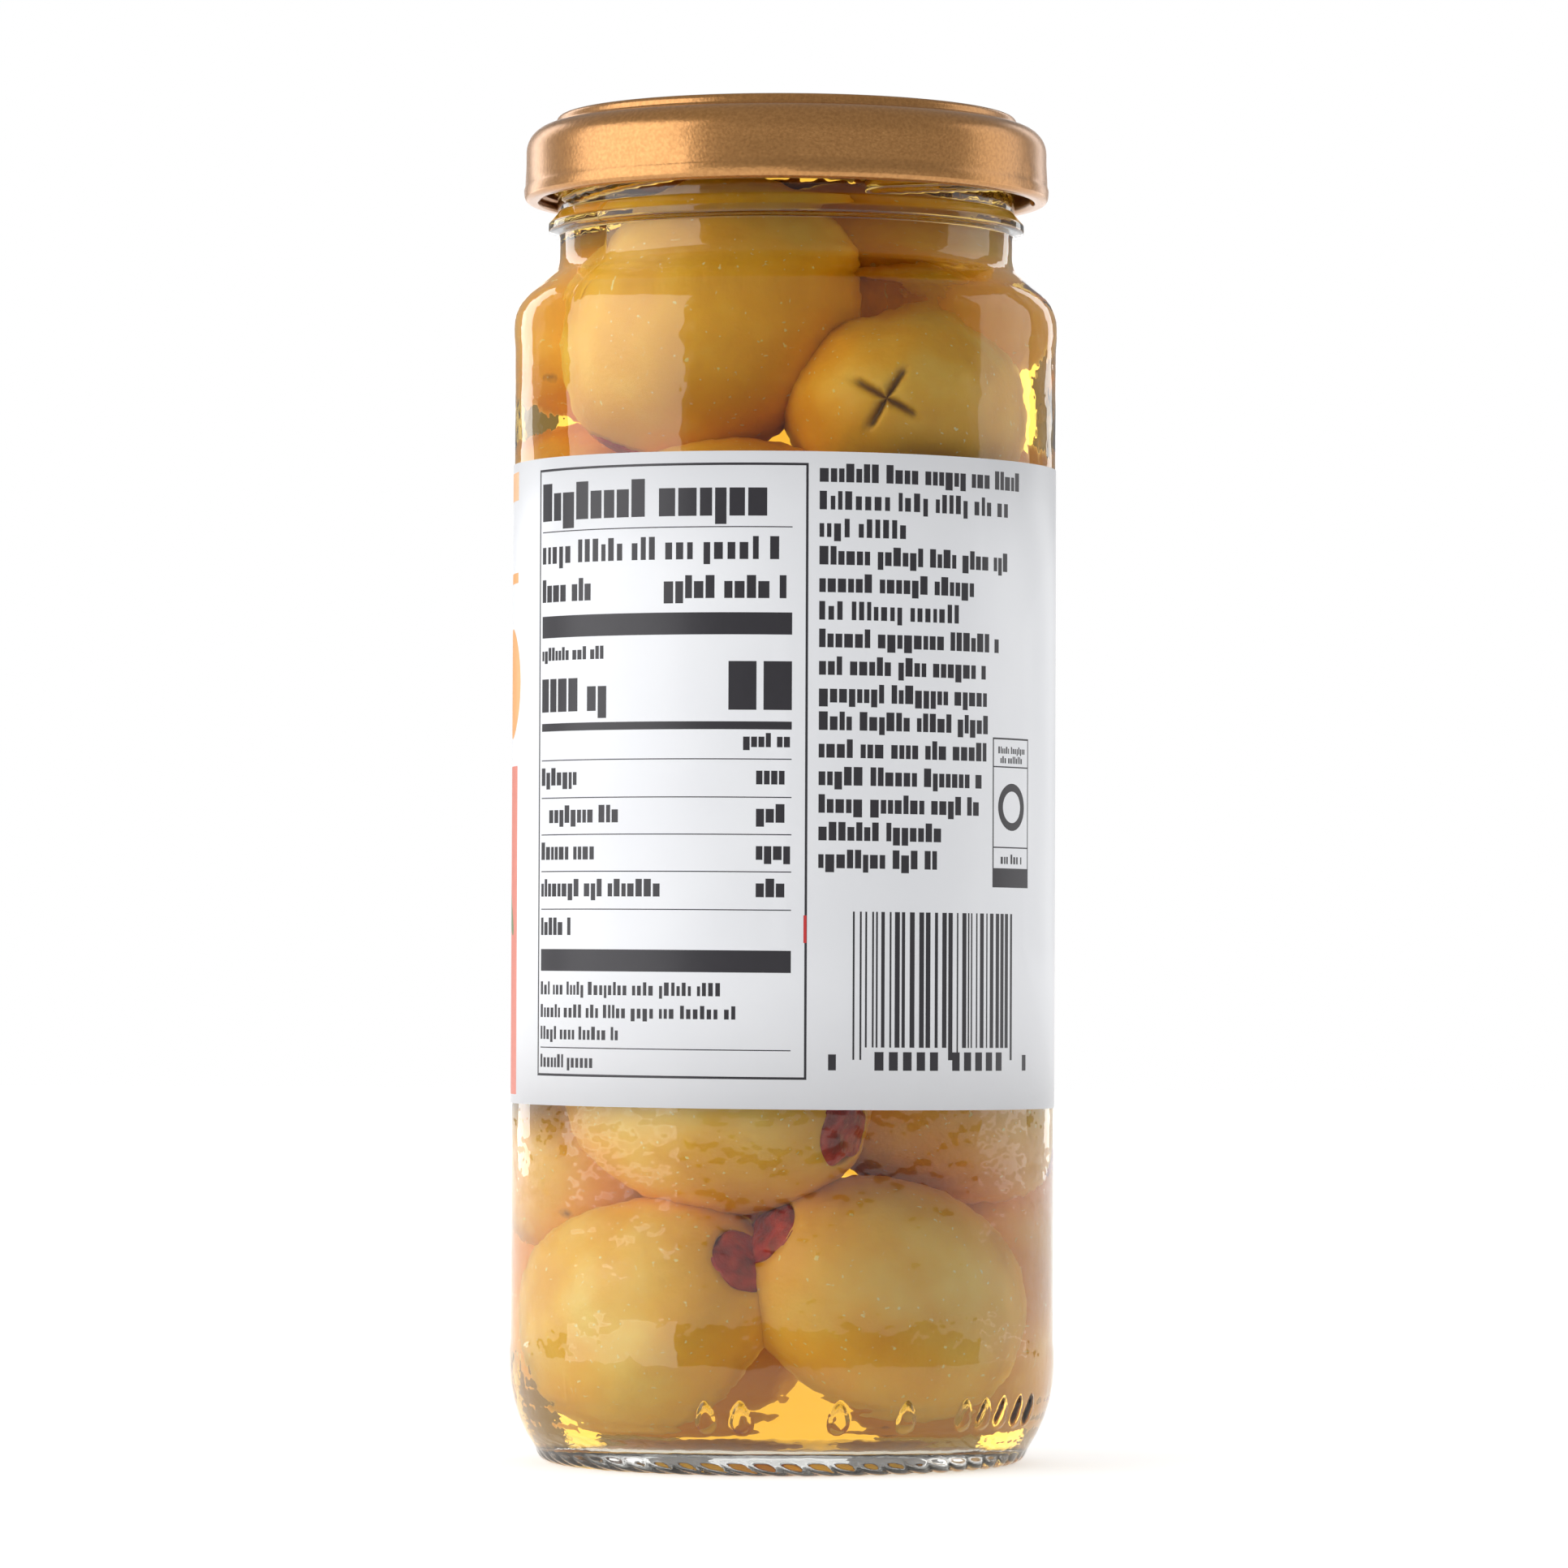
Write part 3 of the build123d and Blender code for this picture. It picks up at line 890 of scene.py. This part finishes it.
def front_fields():
    """Front panel on the far side: plain fields, ovals and leaves."""
    left = across_at(LABEL_RIGHT - LABEL_SPAN) + 0.4
    right = across_at(BACK_PANEL_LEFT)
    low, high = LABEL_BOTTOM + 1.3, LABEL_TOP - 1.3
    middle = across_at(-160)
    coral = [patch(left, right, low, 80.6)]
    peach = [patch(left, right, 111.4, high)]
    orange = [patch(left, right, 101.8, 103.0), disc(across_at(-84), 90.2, 5.5, 6.4)]
    orange += [disc(middle, 95.5, 30, 4.6, lift=PRINT_LIFT * 1.2)]
    gold = [disc(middle + offset, z, 8.5, 6.4, PRINT_LIFT * 2.6, turn=turn) for offset, z, turn in (
        (-24, 62, 0.4), (-5, 56, -0.3), (15, 65, 0.5), (30, 54, 0.1), (2, 71, 0.2))]
    red = [disc(middle + offset, z, 2.2, 2.2, PRINT_LIFT * 3.4) for offset, z in (
        (-17.5, 64.5), (1.5, 54), (21.5, 68.5), (36.5, 54.5), (9, 72))]
    leaves = [disc(middle + offset, z, 7.5, 1.8, PRINT_LIFT * 1.9, turn=turn) for offset, z, turn in (
        (-34, 71, 0.8), (-30, 50, -0.5), (26, 74, 0.6), (38, 66, -0.7), (-12, 46.5, 0.1))]
    plain = words(middle - 24, middle + 24, 105.0, 3.4, 0.8)
    return {
        "print_coral": (coral, (0.74, 0.16, 0.095)),
        "print_peach": (peach, (0.86, 0.46, 0.20)),
        "print_orange": (orange, (0.85, 0.36, 0.055)),
        "print_gold": (gold, (0.62, 0.47, 0.10)),
        "print_red": (red, (0.42, 0.02, 0.02)),
        "print_leaves": (leaves, (0.10, 0.20, 0.035)),
        "print_title": (plain, (0.09, 0.17, 0.04)),
    }


def make_label():
    placed(joined("label_film", [label_strip()], [film_material()]), "label", "label")
    ink = facts_table() + side_text() + care_mark() + bar_code()
    black = ink_material("ink_black", (0.022, 0.020, 0.026))
    placed(joined("print_black", ink, [black]), "ink")
    mark = [patch(2.25, 2.6, 60.3, 63.4, PRINT_LIFT * 1.4)]
    placed(joined("print_mark", mark, [ink_material("ink_mark", (0.6, 0.03, 0.03))]), "ink")
    for name, (chunks, colour) in front_fields().items():
        placed(joined(name, chunks, [ink_material("ink_" + name, colour)]), "ink")


placed(make_jar(), "glass", "jar")
placed(make_brine(), "brine", "brine")
placed(make_lid(), "lid_lacquer", "lid")
make_olives()
make_label()


# -------------------------------------------------------------------- stage

FILL = 0.70          # world light on the object
GLIMPSE = 0.30       # what glass and metal see where there is no lamp
FLOOR_HALF = 3.0
FLOOR_WHITE = 0.90
FLOOR_GLOW = 0.39    # keeps the floor as white as the world behind it
LAMP_AIM_Z = 0.08
CAMERA_BACK = 0.8865
CAMERA_Z = 0.05625
CAMERA_LENS = 174.4
CAMERA_UP = 1.469    # degrees above level
CAMERA_ROLL = 0.23   # degrees

# name, azimuth, distance, height, width, how tall, radiance
LAMPS = (
    ("soft_left", -74, 1.5, 0.25, 1.75, 1.7, 2.3),
    ("soft_right", 108, 1.5, 0.25, 0.95, 1.7, 1.1),
    ("rim_left", -143, 1.5, 0.2, 0.42, 1.5, 2.2),
    ("rim_right", 151, 1.5, 0.2, 0.26, 1.5, 1.6),
    ("backdrop", 180, 1.6, 0.1, 0.62, 1.0, 1.0),
)


def make_world():
    world = bpy.data.worlds.new("studio")
    bpy.context.scene.world = world
    world.use_nodes = True
    tree = world.node_tree
    background = tree.nodes["Background"]
    path = tree.nodes.new("ShaderNodeLightPath")
    bright = tree.nodes.new("ShaderNodeMath")
    bright.operation = "MAXIMUM"
    tree.links.new(path.outputs["Is Glossy Ray"], bright.inputs[0])
    tree.links.new(path.outputs["Is Transmission Ray"], bright.inputs[1])
    seen = tree.nodes.new("ShaderNodeMix")
    seen.inputs["A"].default_value = FILL
    seen.inputs["B"].default_value = GLIMPSE
    tree.links.new(bright.outputs[0], seen.inputs["Factor"])
    strength = tree.nodes.new("ShaderNodeMix")
    strength.inputs["B"].default_value = 1.0
    tree.links.new(path.outputs["Is Camera Ray"], strength.inputs["Factor"])
    tree.links.new(seen.outputs["Result"], strength.inputs["A"])
    tree.links.new(strength.outputs["Result"], background.inputs["Strength"])
    background.inputs["Color"].default_value = (1, 1, 1, 1)


def softbox(name, azimuth, distance, z, width, height, radiance):
    """Rectangular lamp that faces the jar."""
    lamp = bpy.data.lights.new(name, "AREA")
    lamp.shape = "RECTANGLE"
    lamp.size, lamp.size_y = width, height
    lamp.energy = radiance * math.pi * width * height
    holder = bpy.data.objects.new(name, lamp)
    bpy.context.scene.collection.objects.link(holder)
    place = Vector(on_jar(azimuth, distance, 0)) + Vector((0, 0, z))
    aim = Vector((0, 0, LAMP_AIM_Z)) - place
    holder.location = place
    holder.rotation_euler = aim.to_track_quat("-Z", "Y").to_euler()
    holder.visible_camera = False
    return holder


def make_floor():
    material, tree, shader = principled("floor_white", roughness=1.0)
    shader.inputs["Base Color"].default_value = (FLOOR_WHITE, FLOOR_WHITE, FLOOR_WHITE, 1)
    shader.inputs["Specular IOR Level"].default_value = 0
    path = tree.nodes.new("ShaderNodeLightPath")
    glow = tree.nodes.new("ShaderNodeMath")
    glow.operation = "MULTIPLY"
    glow.inputs[1].default_value = FLOOR_GLOW
    direct = tree.nodes.new("ShaderNodeMath")
    direct.operation = "SUBTRACT"
    direct.inputs[0].default_value = 1
    tree.links.new(path.outputs["Is Diffuse Ray"], direct.inputs[1])
    tree.links.new(direct.outputs[0], glow.inputs[0])
    shader.inputs["Emission Color"].default_value = (1, 1, 1, 1)
    tree.links.new(glow.outputs[0], shader.inputs["Emission Strength"])
    mesh = bpy.data.meshes.new("floor")
    corners = [(x * FLOOR_HALF, y * FLOOR_HALF, 0) for x, y in ((-1, -1), (1, -1), (1, 1), (-1, 1))]
    mesh.from_pydata(corners, [], [(0, 1, 2, 3)])
    mesh.materials.append(material)
    floor = bpy.data.objects.new("floor", mesh)
    bpy.context.scene.collection.objects.link(floor)


def make_camera():
    data = bpy.data.cameras.new("camera")
    data.lens = CAMERA_LENS
    data.sensor_width = 36
    data.clip_start = 0.01
    camera = bpy.data.objects.new("camera", data)
    bpy.context.scene.collection.objects.link(camera)
    camera.location = (0, -CAMERA_BACK, CAMERA_Z)
    pitch = math.radians(90 + CAMERA_UP)
    roll = math.radians(CAMERA_ROLL)
    turn = Matrix.Rotation(pitch, 4, "X") @ Matrix.Rotation(roll, 4, "Z")
    camera.rotation_euler = turn.to_euler()
    bpy.context.scene.camera = camera


make_world()
make_floor()
for lamp_values in LAMPS:
    softbox(*lamp_values)
make_camera()
bpy.context.scene.view_settings.view_transform = "Standard"
